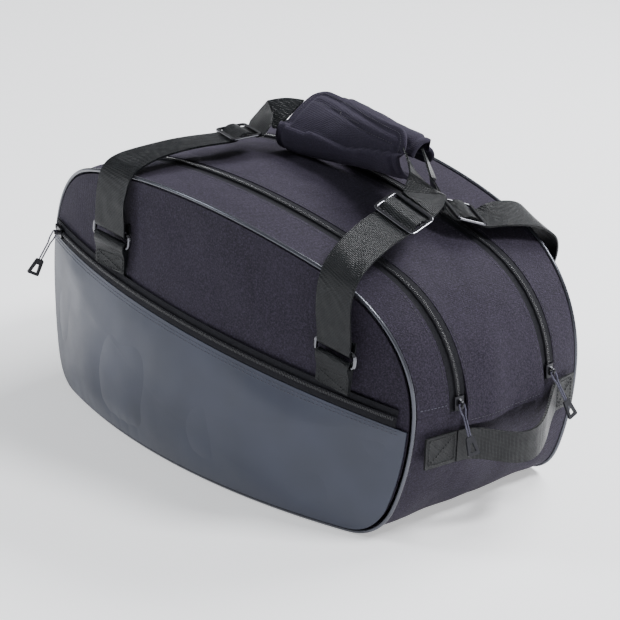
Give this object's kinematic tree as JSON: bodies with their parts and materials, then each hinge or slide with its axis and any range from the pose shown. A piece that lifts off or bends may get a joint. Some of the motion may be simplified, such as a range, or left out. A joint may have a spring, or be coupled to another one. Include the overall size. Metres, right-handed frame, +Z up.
{
  "type": "padel racket bag",
  "caption": "Soft duffel-shaped bag for padel rackets, with zipped compartments, a zipped front pocket, carry handles on metal rings with a padded wrap, and a grab handle on one end.",
  "frame": {"origin": "on the floor under the middle of the bounding box", "axes": "+X along the bag towards the end with the grab handle, the front panel with the pocket faces -Y, +Z up"},
  "size_m": [0.5358, 0.2838, 0.329],
  "materials": {
    "fabric": "dark melange woven polyester, matt",
    "pocket_cloth": "coated grey-blue cloth, low sheen",
    "piping": "coated piping, satin",
    "lining": "plain lining, matt",
    "base_board": "stiff base board, matt",
    "zip_tape": "black zip tape and nylon coil",
    "webbing": "dense woven webbing, satin",
    "gunmetal": "gunmetal plated, polished",
    "slider_metal": "black enamelled, satin",
    "pull_cord": "fine braided cord",
    "pull_tag": "soft moulded plastic",
    "pad_cloth": "padded cloth with binding tape, matt"
  },
  "bodies": {
    "bag": {"back_left_chape": "webbing", "back_panel": "fabric", "back_piping": "piping", "back_right_chape": "webbing", "base_board": "base_board", "base_panel": "fabric", "divider": "lining", "front_left_chape": "webbing", "front_panel": "fabric", "front_piping": "piping", "front_right_chape": "webbing", "front_zip_stringer_back": "zip_tape", "front_zip_stringer_front": "zip_tape", "grab_handle_back_end": "webbing", "grab_handle_front_end": "webbing", "grab_handle_span": "webbing", "main_zip_stringer_back": "zip_tape", "main_zip_stringer_front": "zip_tape", "pocket_panel": "pocket_cloth", "pocket_zip_stringer_lower": "zip_tape", "pocket_zip_stringer_upper": "zip_tape", "top_back_strip": "fabric", "top_centre_panel": "fabric", "top_front_strip": "fabric"},
    "front_rings": {"front_left_ring": "gunmetal", "front_right_ring": "gunmetal"},
    "front_handle": {"front_left_strap": "webbing", "front_right_strap": "webbing", "front_left_tri_glide": "gunmetal", "front_right_tri_glide": "gunmetal", "front_handle_pad": "pad_cloth"},
    "back_rings": {"back_left_ring": "gunmetal", "back_right_ring": "gunmetal"},
    "back_handle": {"back_left_strap": "webbing", "back_right_strap": "webbing", "back_left_tri_glide": "gunmetal", "back_right_tri_glide": "gunmetal", "back_handle_pad": "pad_cloth"},
    "front_zip_slider": {"front_zip_slider": "slider_metal"},
    "front_zip_pull": {"front_zip_pull_cord": "pull_cord", "front_zip_pull_tag": "pull_tag"},
    "main_zip_slider": {"main_zip_slider": "slider_metal"},
    "main_zip_pull": {"main_zip_pull_cord": "pull_cord", "main_zip_pull_tag": "pull_tag"},
    "main_zip_middle_slider": {"main_zip_middle_slider": "slider_metal"},
    "main_zip_middle_pull": {"main_zip_middle_pull_cord": "pull_cord", "main_zip_middle_pull_tag": "pull_tag"},
    "pocket_zip_slider": {"pocket_zip_slider": "slider_metal"},
    "pocket_zip_pull": {"pocket_zip_pull_cord": "pull_cord", "pocket_zip_pull_tag": "pull_tag"}
  },
  "joints": [
    {"name": "front_rings_tip", "type": "hinge", "parent": "bag", "child": "front_rings", "pos_m": [0.0304, -0.12363, 0.177], "axis": [0.9926, 0.0677, -0.1003], "range_deg": [0, 90]},
    {"name": "front_handle_fall", "type": "hinge", "parent": "front_rings", "child": "front_handle", "pos_m": [0.03176, -0.12363, 0.19043], "axis": [0.9926, 0.0677, -0.1003], "range_deg": [0, 60]},
    {"name": "back_rings_tip", "type": "hinge", "parent": "bag", "child": "back_rings", "pos_m": [0.0289, 0.13245, 0.176], "axis": [-1, 0, 0], "range_deg": [0, 90]},
    {"name": "back_handle_fall", "type": "hinge", "parent": "back_rings", "child": "back_handle", "pos_m": [0.0289, 0.13245, 0.1895], "axis": [-1, 0, 0], "range_deg": [0, 60]},
    {"name": "front_zip_slider_run", "type": "hinge", "parent": "bag", "child": "front_zip_slider", "pos_m": [0.12743, -0.06176, 0.12], "axis": [0.2129, -0.9771, 0], "range_deg": [0, 40]},
    {"name": "front_zip_pull_swing", "type": "hinge", "parent": "front_zip_slider", "child": "front_zip_pull", "pos_m": [0.2473, -0.03729, 0.12818], "axis": [-0.0912, -0.9928, -0.078], "range_deg": [0, 80]},
    {"name": "main_zip_slider_run", "type": "hinge", "parent": "bag", "child": "main_zip_slider", "pos_m": [0.12706, 0.0527, 0.12], "axis": [0.1972, -0.9804, 0], "range_deg": [0, 64]},
    {"name": "main_zip_pull_swing", "type": "hinge", "parent": "main_zip_slider", "child": "main_zip_pull", "pos_m": [0.24731, 0.07633, 0.12818], "axis": [0.1877, -0.964, -0.1885], "range_deg": [0, 80]},
    {"name": "main_zip_middle_slider_run", "type": "hinge", "parent": "bag", "child": "main_zip_middle_slider", "pos_m": [-0.01114, 0.03987, -0.21145], "axis": [0.0087, -1, 0], "range_deg": [-2.3, 2.3]},
    {"name": "main_zip_middle_pull_swing", "type": "hinge", "parent": "main_zip_middle_slider", "child": "main_zip_middle_pull", "pos_m": [-0.00452, 0.0401, 0.27065], "axis": [0.2054, 0.9747, -0.0879], "range_deg": [0, 34]},
    {"name": "pocket_zip_slider_run", "type": "hinge", "parent": "bag", "child": "pocket_zip_slider", "pos_m": [-0.02039, 0.47303, 0.02474], "axis": [0.0752, 0.1961, 0.9777], "range_deg": [0, 41]},
    {"name": "pocket_zip_pull_swing", "type": "hinge", "parent": "pocket_zip_slider", "child": "pocket_zip_pull", "pos_m": [-0.2313, -0.10201, 0.15445], "axis": [-0.9386, 0.3449, 0.003], "range_deg": [0, 80]}
  ]
}
